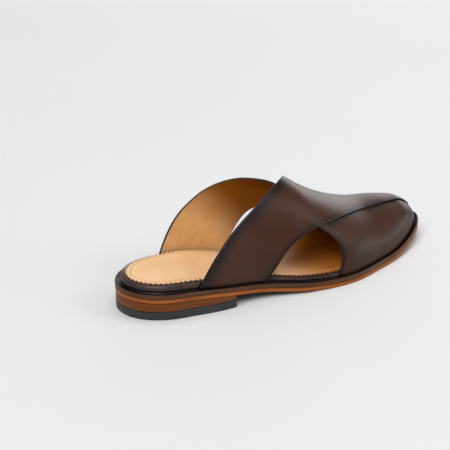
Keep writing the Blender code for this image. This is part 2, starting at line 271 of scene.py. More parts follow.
# One point of a layer's section: how far in, where between the lower face (0) and the upper
# one (1), how much higher still, and the finish of the surface that follows it
Rim = namedtuple("Rim", "inset share height finish")

# Section of the midsole: trimmed edge, narrow welt, and the groove beside the straps
WELT_SECTION = (
    Rim(CORE_INSET, 0, 0.0, 0),
    Rim(0.0005, 0, 0.0, 0),
    Rim(0.0001, 0, 0.0002, 0),
    Rim(0.0, 0, 0.0006, 0),
    Rim(0.0, 1, -0.0009, 0),
    Rim(0.0002, 1, -0.0003, 0),
    Rim(0.0008, 1, 0.0, 1),
    Rim(0.0015, 1, -0.0001, 1),
    Rim(0.0021, 1, -0.0006, 1),
    Rim(0.0027, 1, -0.0010, 1),
    Rim(0.0052, 1, -0.0010, 1),
    Rim(0.0060, 1, 0.0, 1),
    Rim(CORE_INSET, 1, 0.0, 0),
)

# How a surface shines: roughness, strength of the mirror part and weight of the wax coat
Gloss = namedtuple("Gloss", "roughness specular coat")
MATT = Gloss(0.55, 0.12, 0.0)
SHEEN_SPREAD = 0.06       # how far the roughness strays with the clouds
COAT_ROUGHNESS = 0.28
FIBRE_SPECULAR = 0.2

# Painted shade on a leather: it darkens along a direction, between two distances from the frame's origin
PaintedShade = namedtuple("PaintedShade", "colour direction start end")

# Patterns: the noises of clouds, grain and fibres, the part of a noise that spans the two tones,
# how far each tone reaches into it, and the relief of grain and fibres
CLOUD_NOISE = {"Detail": 4.0, "Roughness": 0.55}
FINE_NOISE = {"Detail": 3.0}
NOISE_RANGE = {"From Min": 0.3, "From Max": 0.7}
PLAIN_TONES = {"To Min": -0.2, "To Max": 1.2}
SHADED_TONES = {"To Min": -0.15, "To Max": 0.35}
GRAIN_RELIEF = {"Strength": 0.12, "Distance": 0.0002}
FIBRE_RELIEF = {"Strength": 0.15, "Distance": 0.0002}
FIBRE_STRETCH = (0.05, 0.05, 1.0)

# Creases pressed into the medial strap's lining by the foot: where each one starts and ends
Crease = namedtuple("Crease", "x girth x_end girth_end depth")
CREASES = (
    Crease(0.0800, 0.020, 0.0930, 0.085, 0.00090),
    Crease(0.0880, 0.015, 0.0990, 0.065, 0.00075),
    Crease(0.0720, 0.030, 0.0800, 0.075, 0.00050),
    Crease(0.0940, 0.080, 0.1060, 0.130, 0.00050),
)
CREASE_WIDTH = 0.0016

# Camera, fitted to the photograph's frame
VIEW_TURN = math.radians(-30.0)
VIEW_DOWN = math.radians(25.3)
VIEW_DISTANCE = 1.570
VIEW_TARGET = Vector((0.0, -MIDDLE, 0.020))
VIEW_LENS = 146.3
VIEW_SHIFT = (-0.1147, 0.0569)
VIEW_SENSOR = 36.0
VIEW_END = 30.0

# Studio lights: place and size in metres, and the setting that holds the watts
Softbox = namedtuple("Softbox", "name place size setting")
SOFTBOXES = (
    Softbox("softbox_key", (-1.80, -1.80, 3.28), (2.56, 2.56), "key"),
    Softbox("softbox_above", (0.30, 0.80, 4.20), (3.20, 3.20), "above"),
    Softbox("strip_back", (1.55, 1.70, 0.45), (2.60, 0.80), "back"),
    Softbox("strip_toe", (1.70, -0.45, 0.16), (1.20, 0.30), "side"),
    Softbox("softbox_fill", (1.70, -1.20, 1.50), (1.20, 1.20), "fill"),
)
LIGHT_AIM = Vector((0.0, 0.0, 0.03))
FLOOR_HALF = 5.0


def linear(code):
    """Linear colour of an sRGB hex code."""
    parts = [int(code[i:i + 2], 16) / 255 for i in (1, 3, 5)]
    return tuple(c / 12.92 if c <= 0.04045 else ((c + 0.055) / 1.055) ** 2.4 for c in parts)


def colour(name, code, description):
    """Colour setting of the panel."""
    return bpy.props.FloatVectorProperty(
        name=name, description=description, subtype="COLOR", size=3,
        min=0.0, max=1.0, default=linear(code))


def length(name, default, most, description):
    """Length setting of the panel, in metres."""
    return bpy.props.FloatProperty(
        name=name, description=description, subtype="DISTANCE", unit="LENGTH",
        min=0.0, max=most, default=default, precision=5)


def power(name, default, description):
    """Light setting of the panel, in watts."""
    return bpy.props.FloatProperty(
        name=name, description=description, subtype="POWER", unit="POWER", min=0.0, default=default)


class MuleStrapSettings(bpy.types.PropertyGroup):
    """Looks of the crossed straps."""
    calf: colour("Calf", "#472B1F", "Leather in the middle of a strap")
    # Dark tone of the burnish along the edges, also used as painted shadow under the lateral strap's front
    # edge
    burnish: colour("Burnish", "#1E1514", "Darker leather along a strap's edges")
    lining: colour("Lining", "#EDBC82", "Leather inside the straps")
    lining_dark: colour("Lining marks", "#E2AC70", "Darker clouds and marks of the lining")
    # Lining, inside: painted shade, darker towards the toe and up towards the instep, where the lining is
    # shaded
    lining_painted_shade: colour("Lining, inside", "#8C5008", "Lining that has darkened deep inside the shoe")
    edge: colour("Edge paint", "#141113", "Paint on the straps' cut edges")
    edge_worn: colour("Edge paint, thin", "#241B18", "Where the edge paint lies thinner")
    edge_round: length("Edge rounding", 0.00055, 0.001, "Rounding of the painted edges")
    burnish_and_shadow_reach: length("Burnish width", 0.014, 0.04, "Reach of the darker leather from an edge")


class MuleFootbedSettings(bpy.types.PropertyGroup):
    """Sizes and looks of the footbed and its sock."""
    wrap: colour("Wrap", "#493530", "Leather wrapped round the footbed")
    wrap_dark: colour("Wrap folds", "#2E211E", "Darker clouds of the wrapping leather")
    sock: colour("Sock", "#FACF9F", "Tan leather under the foot")
    sock_dark: colour("Sock clouds", "#F3C28F", "Darker clouds of the sock")
    # Sock, inside: painted shade, darker towards the toe where the straps shade the sock
    sock_painted_shade: colour("Sock, inside", "#B86E26", "Sock that has darkened deep inside the shoe")
    tooth_depth: length("Tooth depth", 0.0020, 0.003, "Depth of the sock's pinked teeth")
    pressed: colour("Pressed line", "#D9A673", "Line pressed inside the sock's edge")
    pressed_dark: colour("Pressed line marks", "#CC9660", "Darker places of the pressed line")
    line_depth: length("Line depth", 0.00035, 0.0008, "Depth of the line pressed inside the sock's edge")


class MuleSoleSettings(bpy.types.PropertyGroup):
    """Looks of the sole and heel."""
    welt: colour("Welt", "#17120F", "Dressing on top of the welt")
    welt_dark: colour("Welt brush marks", "#0D0A09", "Darker places of the dressing")
    midsole: colour("Midsole", "#63412A", "Edge of the midsole")
    midsole_dark: colour("Midsole fibres", "#4A2F1D", "Darker fibres of the midsole's edge")
    outsole: colour("Outsole", "#AE6426", "Edge of the outsole")
    outsole_dark: colour("Outsole fibres", "#8C4A18", "Darker fibres of the outsole")
    # Dark underside of the outsole: painted shade that deepens the shadow under the arch
    bottom: colour("Sole bottom", "#2C221D", "Stain on the underside of the outsole")
    bottom_painted_shade_dark: colour("Sole bottom marks", "#1E1713", "Darker places of the stain")
    stack: colour("Heel stack", "#7E4718", "Edge of the heel's leather")
    stack_dark: colour("Heel stack fibres", "#66360F", "Darker fibres of the heel's leather")
    lift: colour("Top lift", "#36383A", "Rubber of the top lift")
    lift_dark: colour("Top lift scuffs", "#2A2C2E", "Darker clouds of the rubber")


class MuleStageSettings(bpy.types.PropertyGroup):
    """The studio round the shoe."""
    floor: colour("Floor", "#F0F0F0", "Paper under the shoe")
    floor_dark: colour("Floor clouds", "#EEEEEE", "Slightly darker places of the paper")
    key: power("Key light", 92.0, "Softbox before the heel, high up")
    above: power("Overhead light", 52.0, "Softbox above the shoe")
    back: power("Back light", 18.0, "Low strip behind the toe, for the sheen on top of the leather")
    side: power("Toe light", 4.0, "Low strip before the toe")
    fill: power("Fill light", 12.5, "Softbox before the toe, halfway up")
    room: bpy.props.FloatProperty(
        name="Room light", description="Even light from the whole room", min=0.0, default=0.20)


def curve(rows, across, column, at):
    """Smooth curve through one column of a table, flat where two rows are equal."""
    xs = np.array([getattr(row, across) for row in rows])
    ys = np.array([getattr(row, column) for row in rows])
    slopes = np.gradient(ys, xs)
    for i in range(len(xs) - 1):
        if ys[i] == ys[i + 1]:
            slopes[i] = slopes[i + 1] = 0.0
    at = np.asarray(at, float)
    left = np.clip(np.searchsorted(xs, at, side="right") - 1, 0, len(xs) - 2)
    span = xs[left + 1] - xs[left]
    t = np.clip((at - xs[left]) / span, 0.0, 1.0)
    start = (1 + 2 * t) * (1 - t) ** 2 * ys[left] + t * (1 - t) ** 2 * span * slopes[left]
    end = t * t * (3 - 2 * t) * ys[left + 1] + t * t * (t - 1) * span * slopes[left + 1]
    return start + end


def ease(share):
    """Smooth step from 0 to 1."""
    t = np.clip(share, 0.0, 1.0)
    return t * t * (3 - 2 * t)


def outline(x, inset):
    """Lateral and medial y of the outsole's outline, moved in by the inset."""
    x = np.asarray(x, float)
    heel = np.clip((HEEL_ROUND - x) / (HEEL_ROUND - inset), 0.0, 1.0)
    toe = np.clip((x - LENGTH + TOE_ROUND) / (TOE_ROUND - inset), 0.0, 1.0)
    ends = np.sqrt(1 - heel ** 2) * np.sqrt(1 - toe ** 2)
    half = (curve(OUTLINE, "at", "half_width", x / LENGTH) - inset) * ends
    middle = curve(OUTLINE, "at", "centre", x / LENGTH)
    return middle - half, middle + half


def underside(x):
    """Height of the outsole's underside over the floor."""
    return curve(PROFILE, "at", "height", np.asarray(x, float) / LENGTH)


def sole_top(x):
    """Height of the midsole's upper face over the floor."""
    return underside(x) + SOLE_THICK


def footbed_thick(x):
    """Thickness of the footbed."""
    return curve(FOOTBED, "at", "thick", np.asarray(x, float) / LENGTH)


def footbed_top(x):
    """Height of the footbed's upper face over the floor."""
    return sole_top(x) + CLEAR + footbed_thick(x)


def sock_seat(x):
    """Height of the sock's lower face over the floor."""
    return footbed_top(x) + CLEAR


def last_point(x, girth, seat):
    """Point of the last: girth 0 is the lateral base, 0.5 the ridge and 1 the medial base."""
    x, girth = np.broadcast_arrays(np.asarray(x, float), np.asarray(girth, float))
    at = x / LENGTH
    lateral, medial = outline(x, LAST_INSET)
    toe = np.clip((x - TOE_END + TOE_BOX) / TOE_BOX, 0.0, 1.0)
    rise = curve(LAST, "at", "ridge", at) * (1 - toe ** TOE_BOX_POWER) ** (1 / TOE_BOX_POWER)
    narrow = np.clip((medial - lateral) / RIDGE_FADE, 0.0, 1.0)
    ridge = (lateral + medial) / 2 + curve(LAST, "at", "shift", at) * narrow
    across = np.cos(np.pi * girth)
    upward = np.clip(np.sin(np.pi * girth), 0.0, 1.0)
    lateral_side = across > 0
    lateral_full = curve(LAST, "at", "lateral_full", at)
    medial_full = curve(LAST, "at", "medial_full", at)
    full = np.where(lateral_side, lateral_full, medial_full)
    reach = np.where(lateral_side, ridge - lateral, medial - ridge)
    y = ridge - np.sign(across) * reach * np.abs(across) ** (2 / full)
    medial_share = np.clip(2 * girth - 1, 0.0, 1.0)
    y += curve(LAST, "at", "swell", at) * np.sin(np.pi * medial_share)
    z = sole_top(x) + seat + rise * upward ** (2 / full)
    return np.stack([x, y, z], axis=-1)


def last_normal(x, girth):
    """Outward direction of the last's surface."""
    step = 0.0002
    turn = 0.004
    x = np.clip(x, 0.0, TOE_END - 2 * step)
    along = last_point(x + step, girth, 0.0) - last_point(x - step, girth, 0.0)
    after = np.minimum(girth + turn, 1)
    before = np.maximum(girth - turn, 0)
    around = last_point(x, after, 0.0) - last_point(x, before, 0.0)
    normal = np.cross(along, around)
    normal[..., 2] = np.maximum(normal[..., 2], 0.0)   # level where a side flares up from its base
    return normal / np.linalg.norm(normal, axis=-1, keepdims=True)


def strap_point(x, girth, rise, seat):
    """Point standing off the last by rise, with its base kept level over the sole."""
    base = last_point(x, girth, seat)
    point = base + last_normal(x, girth) * np.asarray(rise)[..., None]
    low = 1 - ease((base[..., 2] - sole_top(x)) / LEVEL_REACH)
    point[..., 2] += low * (sole_top(point[..., 0]) - sole_top(x))
    return point


def front_girth(edge, x):
    """Girth that a strap's front edge has reached; none before its corner."""
    return curve(edge, "at", "girth", np.maximum(x, edge[0].at))


def strap_grid(side, edge):
    """Distances and girths of a strap's grid, girth counted from its own base.

    Rows start along the strap's base and then its front edge, and end along the far base.
    Each lies a share of the way from the back edge to the toe.
    """
    back_start = getattr(BACK_EDGE[0], side)
    corner = edge[0].at
    turn = np.linspace(0.0, np.pi / 2, STRAP_ROWS - BASE_ROWS)
    near = np.concatenate([
        np.linspace(back_start, corner, BASE_ROWS, endpoint=False),
        corner + (TOE_END - corner) * np.sin(turn),
    ])
    low = np.where(near > corner, front_girth(edge, near), 0.0)
    start = curve(BACK_EDGE, "girth", side, low)
    near_share = (near - start) / (TOE_END - start)
    far_share = np.linspace(0.0, 1.0, STRAP_ROWS) ** FAR_PACE
    across = np.linspace(0.0, 1.0, STRAP_COLUMNS)
    girth = across + low[:, None] * (1 - across) ** (2 - low[:, None])
    share = near_share[:, None] * (1 - across) + far_share[:, None] * across
    back = curve(BACK_EDGE, "girth", side, girth)
    return back + share * (TOE_END - back), girth


def over_lift(x, girth, crossing):
    """Rise of a face of the lateral strap off the last; crossing is its rise over the medial one."""
    inside_back = x - curve(BACK_EDGE, "girth", "medial", 1 - girth)
    hidden_edge = (1 - girth) - front_girth(MEDIAL_FRONT, x)
    arch = ARCH_LENGTH * curve(LAST, "at", "ridge", x / LENGTH)
    over = ease(1 + inside_back / LIFT_RAMP) * ease(1 + hidden_edge * arch / LIFT_RAMP)
    fade = ease((TOE_END - x) / TOE_FADE)
    return STRAP_SEAT + crossing * over * fade


def under_tuck(x, girth):
    """How far the medial strap dips into the last, near its back edge on the ridge."""
    from_edge = x - curve(BACK_EDGE, "girth", "medial", girth)
    return TUCK * ease(1 - from_edge / TUCK_REACH) * ease(1 - abs(girth - 0.5) / TUCK_WIDTH)


def creased(x, girth):
    """Depth of the creases in the medial strap's lining."""
    depth = np.zeros_like(x)
    around = ARCH_LENGTH * curve(LAST, "at", "ridge", x / LENGTH)
    for crease in CREASES:
        run = np.array([crease.x_end - crease.x, (crease.girth_end - crease.girth) * around.mean()])
        long = np.linalg.norm(run)
        offset = np.stack([x - crease.x, (girth - crease.girth) * around], axis=-1)
        along = offset @ run / long
        aside = offset @ np.array([-run[1], run[0]]) / long
        ends = ease(along / (long / 2)) * ease((long - along) / (long / 2))
        depth += crease.depth * ends * np.exp(-(aside / CREASE_WIDTH) ** 2)
    return depth


def place(points):
    """Frame positions of points measured from the heel."""
    return np.asarray(points) - np.array([LENGTH / 2, MIDDLE, 0.0])


def add_node(material, kind, settings, links=()):
    """Add a shader node, set its sockets or fields, and link (socket, node, output) into it."""
    node = material.node_tree.nodes.new(kind)
    for key, value in settings.items():
        if isinstance(key, str) and hasattr(node, key):
            setattr(node, key, value)
        else:
            node.inputs[key].default_value = value
    for socket, source, output in links:
        material.node_tree.links.new(source.outputs[output], node.inputs[socket])
    return node


def new_material(name):
    """Material with a Principled shader, the shader and object coordinates."""
    material = bpy.data.materials.new(name)
    material.use_nodes = True
    shader = material.node_tree.nodes["Principled BSDF"]
    where = add_node(material, "ShaderNodeTexCoord", {})
    return material, shader, where


def two_tones(material, factor, output, light, dark):
    """Mix of two colours by a node's output."""
    tones = {"data_type": "RGBA", 6: (*light, 1.0), 7: (*dark, 1.0)}
    return add_node(material, "ShaderNodeMix", tones, [(0, factor, output)])


def painted_shade_tones(material, where, tones, painted_shade):
    """Tones of a leather with painted shade that darkens it along a direction."""
    inward = add_node(material, "ShaderNodeVectorMath",
                      {"operation": "DOT_PRODUCT", 1: painted_shade.direction}, [(0, where, "Object")])
    along = add_node(material, "ShaderNodeMapRange",
                     {"interpolation_type": "SMOOTHSTEP", "From Min": painted_shade.start, "From Max": painted_shade.end},
                     [("Value", inward, "Value")])
    return add_node(material, "ShaderNodeMix", {"data_type": "RGBA", 7: (*painted_shade.colour, 1.0)},
                    [(0, along, "Result"), (6, tones, 2)])


def grained(name, light, dark, cloud, grain, gloss, shaded=False, painted_shade=None):
    """Leather, rubber, paint or paper: clouds of two tones, a fine grain and a gloss.

    cloud and grain are sizes in metres, shaded says that the darker tone gathers along the
    edges, as on burnished leather, together with painted shadow where the edges' attribute holds it, and
    the last argument is painted shade that darkens the leather along a direction.
    """
    material, shader, where = new_material(name)
    clouds = add_node(material, "ShaderNodeTexNoise", {"Scale": 1 / cloud, **CLOUD_NOISE},
                      [("Vector", where, "Object")])
    reach = SHADED_TONES if shaded else PLAIN_TONES
    factor = add_node(material, "ShaderNodeMapRange", {**NOISE_RANGE, **reach}, [("Value", clouds, "Fac")])
    output = "Result"
    if shaded:
        edges = add_node(material, "ShaderNodeAttribute", {"attribute_name": "burnish"})
        factor = add_node(material, "ShaderNodeMath", {"operation": "ADD", "use_clamp": True},
                          [(0, factor, "Result"), (1, edges, "Fac")])
        output = "Value"
    tones = two_tones(material, factor, output, light, dark)
    if painted_shade is not None:
        tones = painted_shade_tones(material, where, tones, painted_shade)
    pores = add_node(material, "ShaderNodeTexNoise", {"Scale": 1 / grain, **FINE_NOISE},
                     [("Vector", where, "Object")])
    bump = add_node(material, "ShaderNodeBump", GRAIN_RELIEF, [("Height", pores, "Fac")])
    sheen = add_node(material, "ShaderNodeMapRange",
                     {"To Min": gloss.roughness - SHEEN_SPREAD, "To Max": gloss.roughness + SHEEN_SPREAD},
                     [("Value", clouds, "Fac")])
    shader.inputs["Specular IOR Level"].default_value = gloss.specular
    shader.inputs["Coat Weight"].default_value = gloss.coat
    shader.inputs["Coat Roughness"].default_value = COAT_ROUGHNESS
    links = material.node_tree.links
    links.new(tones.outputs[2], shader.inputs["Base Color"])
    links.new(sheen.outputs["Result"], shader.inputs["Roughness"])
    links.new(bump.outputs["Normal"], shader.inputs["Normal"])
    return material


def cut_edge(name, light, dark, streak, roughness):
    """Trimmed and waxed edge of sole leather: fibres that run level round the shoe.

    streak is the thickness of the fibres in metres.
    """
    material, shader, where = new_material(name)
    stretch = add_node(material, "ShaderNodeMapping", {"Scale": FIBRE_STRETCH},
                       [("Vector", where, "Object")])
    fibres = add_node(material, "ShaderNodeTexNoise", {"Scale": 1 / streak, **FINE_NOISE},
                      [("Vector", stretch, "Vector")])
    tone = add_node(material, "ShaderNodeMapRange", NOISE_RANGE, [("Value", fibres, "Fac")])
    tones = two_tones(material, tone, "Result", light, dark)
    bump = add_node(material, "ShaderNodeBump", FIBRE_RELIEF, [("Height", fibres, "Fac")])
    shader.inputs["Roughness"].default_value = roughness
    shader.inputs["Specular IOR Level"].default_value = FIBRE_SPECULAR
    links = material.node_tree.links
    links.new(tones.outputs[2], shader.inputs["Base Color"])
    links.new(bump.outputs["Normal"], shader.inputs["Normal"])
    return material


def face_out(shape):
    """Point every face outwards and mark the sharp edges."""
    bmesh.ops.recalc_face_normals(shape, faces=shape.faces)
    if shape.calc_volume(signed=True) < 0:
        bmesh.ops.reverse_faces(shape, faces=shape.faces)
    for face in shape.faces:
        face.smooth = True
    for edge in shape.edges:
        edge.smooth = edge.is_manifold and edge.calc_face_angle() < SHARP


def make_piece(name, shape, materials, node):
    """Object from a finished bmesh, standing for its CAD node."""
    open_edges = sum(1 for edge in shape.edges if not edge.is_manifold)
    if open_edges:
        raise RuntimeError(f"{name} has {open_edges} open edges")
    mesh = bpy.data.meshes.new(name)
    shape.to_mesh(mesh)
    shape.free()
    for material in materials:
        mesh.materials.append(material)
    piece = bpy.data.objects.new(name, mesh)
    bpy.context.scene.collection.objects.link(piece)
    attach(piece, "root")
    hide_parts(node)


def ring(count, inset, side, end):
    """Points of one side of an outline, evenly spaced from the heel to the end."""
    turn = np.linspace(0.0, np.pi, RING_SAMPLES)
    x = inset + (LENGTH - 2 * inset) * (1 - np.cos(turn)) / 2
    x = np.append(x[x < end], end)
    y = outline(x, inset)[side]
    walked = np.concatenate([[0.0], np.cumsum(np.hypot(np.diff(x), np.diff(y)))])
    even = np.interp(np.linspace(0.0, walked[-1], count), walked, x)
    return np.stack([even, outline(even, inset)[side]], axis=-1)


def moved_in(points, side, distance):
    """Points of a ring moved in by a distance of their own."""
    along = np.gradient(points, axis=0)
    along /= np.linalg.norm(along, axis=1, keepdims=True)
    turn = 1.0 if side == 0 else -1.0
    inward = np.stack([-along[:, 1], along[:, 0]], axis=-1) * turn
    inward[0] = (1.0, 0.0)
    inward[-1] = (-1.0, 0.0)
    return points + inward * np.asarray(distance)[:, None]


def grid_spot(vert, rows, columns):
    """Row and column of a vertex in a grid that has just been made."""
    row = round((vert.co.x + 1) / 2 * (rows - 1))
    column = round((vert.co.y + 1) / 2 * (columns - 1))
    return row, column


def layer_shape(section, bottom, top, count, end, shift=None):
    """Closed layer: its section is carried round the outline, on both sides at once.

    The columns go out along the lower face, up the edge and in along the upper face on the
    lateral side, and back the same way on the medial side.
    """
    columns = []
    for side in (0, 1):
        for point in (section if side == 0 else section[::-1]):
            stop = min(end, LENGTH - point.inset)
            flat = ring(count, point.inset, side, stop)
            if shift is not None:
                flat = moved_in(flat, side, shift(point, flat[:, 0], side))
            low, high = bottom(flat[:, 0]), top(flat[:, 0])
            height = low + (high - low) * point.share + point.height
            columns.append(np.column_stack([flat, height]))
    columns.append(columns[0])
    points = place(np.stack(columns, axis=1))
    finishes = [point.finish for point in section]
    finishes = finishes + finishes[-2::-1] + finishes[:1]
    shape = bmesh.new()
    wide = len(columns) - 1
    grid = bmesh.ops.create_grid(shape, x_segments=count - 1, y_segments=wide, size=1.0)
    for face in shape.faces:
        face.material_index = finishes[int((face.calc_center_median().y + 1) / 2 * wide)]
    for vert in grid["verts"]:
        vert.co = points[grid_spot(vert, count, wide + 1)]
    bmesh.ops.remove_doubles(shape, verts=shape.verts, dist=MERGE)
    return shape


def close_breast(shape):
    """Fill the open front of a heel layer and round its corners."""
    rim = [edge for edge in shape.edges if edge.is_boundary]
    bmesh.ops.holes_fill(shape, edges=rim, sides=0)
    bmesh.ops.bevel(shape, geom=rim, offset=BREAST_ROUND, segments=2, profile=0.5, affect="EDGES",
                    material=-1)


def square_section(inset, corner):
    """Section of a plain layer with slightly rounded corners."""
    soft = corner * CORNER_SOFT
    return [
        Rim(CORE_INSET, 0, 0.0, 0),
        Rim(inset + corner, 0, 0.0, 0),
        Rim(inset + soft, 0, soft, 0),
        Rim(inset, 0, corner, 0),
        Rim(inset, 1, -corner, 0),
        Rim(inset + soft, 1, -soft, 0),
        Rim(inset + corner, 1, 0.0, 0),
        Rim(CORE_INSET, 1, 0.0, 0),
    ]


def rolled_section():
    """Section of the footbed, whose leather is rolled round the rim."""
    section = [Rim(CORE_INSET, 0, 0.0, 0), Rim(FOOTBED_INSET + ROLL_FOOT, 0, 0.0, 0)]
    for turn in np.linspace(-ROLL_TURN, ROLL_TURN, ROLL_STEPS) * np.pi:
        inset = FOOTBED_INSET + ROLL_DEPTH * (1 - math.cos(turn))
        section.append(Rim(inset, (1 + math.sin(turn)) / 2, 0.0, 0))
    section.append(Rim(CORE_INSET, 1, 0.0, 0))
    return section


def pinked_section(depth):
    """Section of the sock, with a line of this depth pressed inside its edge."""
    line = SOCK_INSET + LINE_INSET
    return [
        Rim(CORE_INSET, 0, 0.0, 0),
        Rim(SOCK_INSET + SOCK_ROUND / 2, 0, 0.0, 0),
        Rim(SOCK_INSET, 1, -SOCK_ROUND, 0),
        Rim(SOCK_INSET + SOCK_ROUND, 1, 0.0, 0),
        Rim(line - LINE_HALF, 1, 0.0, 1),
        Rim(line, 1, -depth, 1),
        Rim(line + LINE_HALF, 1, 0.0, 0),
        Rim(CORE_INSET, 1, 0.0, 0),
    ]


def free_rim(x, share, side):
    """1 where the footbed's rim is free and 0 where a strap covers it."""
    free = np.zeros_like(x)
    along = x - FREE_LEAN * footbed_thick(x) * share
    for part in FREE_RIM[side]:
        bare = ease((along - part.start) / FREE_RAMP) * ease((part.end - along) / FREE_RAMP)
        free = np.maximum(free, bare)
    return free


class MULE_OT_heel(bpy.types.Operator):
    """Add the heel: rubber top lift and leather stack."""
    bl_idname = "mule.heel"
    bl_label = "Heel"

    def execute(self, context):
        looks = context.scene.mule_sole
        # Black moulded rubber, matt, with faint scuffs
        rubber = grained("rubber_black_matt", looks.lift, looks.lift_dark,
                         cloud=0.018, grain=0.0006, gloss=Gloss(0.55, 0.4, 0.0))
        # Stacked sole leather, brown, trimmed and waxed so that its fibres run level
        stacked = cut_edge("stacked_leather_brown_waxed", looks.stack, looks.stack_dark,
                           streak=0.0016, roughness=0.42)
        section = square_section(HEEL_INSET, HEEL_CORNER)
        lift = layer_shape(section, np.zeros_like, lambda x: np.full_like(x, LIFT_THICK),
                           HEEL_ROWS, HEEL_BREAST)
        stack = layer_shape(section, lambda x: np.full_like(x, LIFT_THICK + CLEAR),
                            lambda x: underside(x) - CLEAR, HEEL_ROWS, HEEL_BREAST)
        for shape in (lift, stack):
            close_breast(shape)
            face_out(shape)
        make_piece("heel_top_lift", lift, [rubber], "top_lift")
        make_piece("heel_leather_stack", stack, [stacked], "heel_stack")
        return {"FINISHED"}


class MULE_OT_sole(bpy.types.Operator):
    """Add the outsole and the midsole with its welt."""
    bl_idname = "mule.sole"
    bl_label = "Sole"

    def execute(self, context):
        looks = context.scene.mule_sole
        # Vegetable-tanned sole leather, orange-brown, waxed edge
        outsole = cut_edge("sole_leather_orange_waxed", looks.outsole, looks.outsole_dark,
                           streak=0.0014, roughness=0.38)
        # The same leather stained dark brown
        midsole = cut_edge("sole_leather_dark_waxed", looks.midsole, looks.midsole_dark,
                           streak=0.0014, roughness=0.40)
        # Black edge dressing brushed on the top of the welt
        dressing = grained("welt_dressing_black_satin", looks.welt, looks.welt_dark,
                           cloud=0.02, grain=0.0008, gloss=Gloss(0.42, 0.3, 0.0))
        # Dark brown on the underside of the outsole: painted shade, to deepen the shadow under the arch
        under_arch_painted_shade = grained("sole_bottom_dark_stain", looks.bottom, looks.bottom_painted_shade_dark,
                        cloud=0.02, grain=0.0008, gloss=Gloss(0.50, 0.3, 0.0))
        trimmed = square_section(0.0, OUTSOLE_CORNER)
        # The lower face takes the dark underside, which is painted shade
        trimmed[0] = trimmed[0]._replace(finish=1)
        lower = layer_shape(trimmed, underside, lambda x: underside(x) + OUTSOLE_THICK,
                            LAYER_ROWS, LENGTH)
        upper = layer_shape(WELT_SECTION, lambda x: underside(x) + OUTSOLE_THICK + CLEAR, sole_top,
                            LAYER_ROWS, LENGTH)
        for shape in (lower, upper):
            face_out(shape)
        make_piece("outsole_leather", lower, [outsole, under_arch_painted_shade], "outsole")
        make_piece("midsole_welt", upper, [midsole, dressing], "midsole")
        return {"FINISHED"}


class MULE_OT_footbed(bpy.types.Operator):
    """Add the wrapped footbed and its pinked sock."""
    bl_idname = "mule.footbed"
    bl_label = "Footbed and sock"

    def execute(self, context):
        looks = context.scene.mule_footbed
        # Dark brown leather pulled tight round the footbed's rim
        wrap = grained("wrap_leather_dark_satin", looks.wrap, looks.wrap_dark,
                       cloud=0.012, grain=0.0007, gloss=Gloss(0.36, 0.4, 0.1))
        # Smooth tan sock leather, nearly matt, with painted shade darkening it towards the toe
        tan = grained("sock_leather_tan_matt", looks.sock, looks.sock_dark,
                      cloud=0.030, grain=0.0006, gloss=MATT,
                      painted_shade=PaintedShade(looks.sock_painted_shade, direction=(1.0, 0.0, 0.0), start=-0.034, end=0.040))
        # The same leather, darkened where a hot wheel pressed the line
        pressed = grained("sock_leather_tan_pressed", looks.pressed, looks.pressed_dark,
                          cloud=0.010, grain=0.0006, gloss=MATT)
        board = layer_shape(
            rolled_section(), lambda x: sole_top(x) + CLEAR, footbed_top, BOARD_ROWS, LENGTH,
            lambda point, x, side: (RIM_INSET - FOOTBED_INSET) * free_rim(x, point.share, side)
            * (point.inset < CORE_INSET))
        rows = SOCK_TEETH * ROWS_PER_TOOTH + 1
        wave = np.arange(rows) % ROWS_PER_TOOTH
        tooth = looks.tooth_depth * (1 - abs(wave * 2 / ROWS_PER_TOOTH - 1))
        sock = layer_shape(
            pinked_section(looks.line_depth), sock_seat, lambda x: sock_seat(x) + SOCK_THICK, rows, LENGTH,
            lambda point, x, side: tooth * (point.inset < SOCK_INSET + TOOTH_BAND))
        for shape in (board, sock):
            face_out(shape)
        make_piece("footbed_wrapped", board, [wrap], "footbed")
        make_piece("sock_pinked", sock, [tan, pressed], "sock")
        return {"FINISHED"}


def distance_to(points, border):
    """Distance of each point of a grid from a border's nearest point."""
    near = KDTree(len(border))
    for index, point in enumerate(border):
        near.insert(point, index)
    near.balance()
    gaps = [near.find(point)[2] for point in points.reshape(-1, 3)]
    return np.array(gaps).reshape(points.shape[:2])


def strap_burnish_and_shadow(outer, back, front, reach):
    """How dark each point of a strap is: most along its back edge, then its front edges and the toe; on
    the medial strap the band along the lateral strap's front edge is painted shadow.
    """
    columns = np.linspace(0.0, 1.0, outer.shape[1])
    wide = reach * (1 - (1 - FAR_BURNISH) * ease((columns - FAR_START) / FAR_EASE))
    along_back = 1 - ease(distance_to(outer, back) / wide)
    # Along a strap's own front edge this is burnish; on the medial strap, along the lateral strap's front
    # edge, it is painted shadow
    front_burnish_and_shadow = 1 - ease(distance_to(outer, front) / (reach * FRONT_BURNISH_AND_SHADOW))
    toe = ease((outer[..., 0] - TOE_END + TOE_BURNISH) / TOE_BURNISH)
    return np.clip(np.maximum(along_back, FRONT_DARK * front_burnish_and_shadow) + TOE_DARK * toe, 0.0, 1.0)


